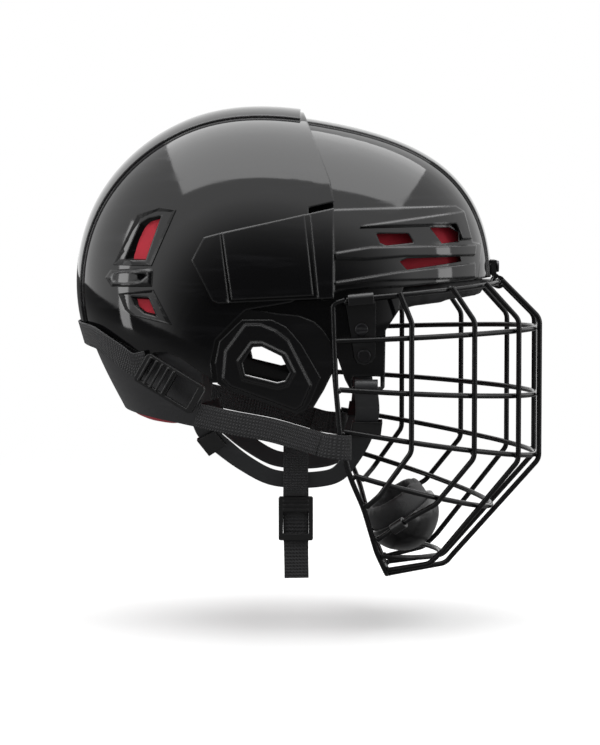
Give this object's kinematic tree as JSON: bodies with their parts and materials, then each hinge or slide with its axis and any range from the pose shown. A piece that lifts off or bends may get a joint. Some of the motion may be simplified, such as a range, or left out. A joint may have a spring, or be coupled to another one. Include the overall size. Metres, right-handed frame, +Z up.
{
  "type": "ice hockey helmet with wire face cage",
  "caption": "Hard two piece sports helmet that slides to fit, with a hinged welded wire face cage, padded chin cup, ear guards and webbing straps.",
  "frame": {"origin": "middle of the wearer's head at brow height, where the head sits in the helmet", "axes": "+X towards the face, +Y the wearer's left, +Z up"},
  "size_m": [0.3246, 0.2062, 0.3274],
  "materials": {
    "shell_black": "gloss",
    "trim_black": "satin",
    "nape_grey": "matte",
    "cage_black": "satin",
    "screw_steel": "satin",
    "webbing_black": "matte",
    "foam_red": "matte",
    "foam_black": "matte"
  },
  "bodies": {
    "helmet": {"front_shell": "shell_black", "front_foam": "foam_red", "brow_pad": "foam_black", "ear_guard_right": "shell_black", "ear_guard_left": "shell_black", "side_clip_right": "trim_black", "side_clip_left": "trim_black", "clip_screws": "screw_steel", "brow_clips": "trim_black", "brow_screws": "screw_steel", "side_strap_right": "webbing_black", "side_strap_left": "webbing_black", "forward_band_right": "webbing_black", "forward_band_left": "webbing_black", "front_keeper_right": "trim_black", "front_keeper_left": "trim_black", "rear_keeper_right": "trim_black", "rear_keeper_left": "trim_black"},
    "rear": {"rear_shell": "shell_black", "nape_piece": "nape_grey", "rear_foam": "foam_red", "nape_pad": "foam_red", "back_strap": "webbing_black", "cage_buckle_right": "trim_black", "cage_buckle_left": "trim_black"},
    "cage": {"cage_frame": "cage_black", "cage_top_wire": "cage_black", "cage_bar_1": "cage_black", "cage_bar_2": "cage_black", "cage_bar_3": "cage_black", "cage_bar_4": "cage_black", "cage_bar_5": "cage_black", "cage_upright_outer": "cage_black", "cage_upright_side": "cage_black", "cage_upright_front": "cage_black", "cage_upright_centre": "cage_black", "cage_loop_right": "webbing_black", "cage_loop_left": "webbing_black", "chin_cup": "trim_black", "chin_foam": "foam_black"},
    "tab_right": {"lock_tab_right": "shell_black"},
    "tab_left": {"lock_tab_left": "shell_black"},
    "chin": {"chin_strap": "webbing_black"},
    "chin_slider": {"chin_buckle": "trim_black"}
  },
  "joints": [
    {"name": "size_slide", "type": "slide", "parent": "helmet", "child": "rear", "axis": [-1, 0, 0], "range_m": [0, 0.01]},
    {"name": "cage_flip", "type": "hinge", "parent": "helmet", "child": "cage", "pos_m": [0.1555, 0, 0.013], "axis": [0, -1, 0], "range_deg": [0, 95]},
    {"name": "lock_tab_right_flip", "type": "hinge", "parent": "helmet", "child": "tab_right", "pos_m": [0.02356, -0.09617, 0.03335], "axis": [-0.1073, 0.2025, 0.9734], "range_deg": [0, 75]},
    {"name": "lock_tab_left_flip", "type": "hinge", "parent": "helmet", "child": "tab_left", "pos_m": [0.02356, 0.09617, 0.03335], "axis": [0.1073, 0.2025, -0.9734], "range_deg": [0, 75]},
    {"name": "chin_strap_swing", "type": "hinge", "parent": "helmet", "child": "chin", "pos_m": [0.0145, -0.0676, -0.1185], "axis": [0, 1, 0], "range_deg": [-15, 15]},
    {"name": "chin_buckle_slide", "type": "slide", "parent": "chin", "child": "chin_slider", "axis": [0, 0, -1], "range_m": [0, 0.02]}
  ]
}
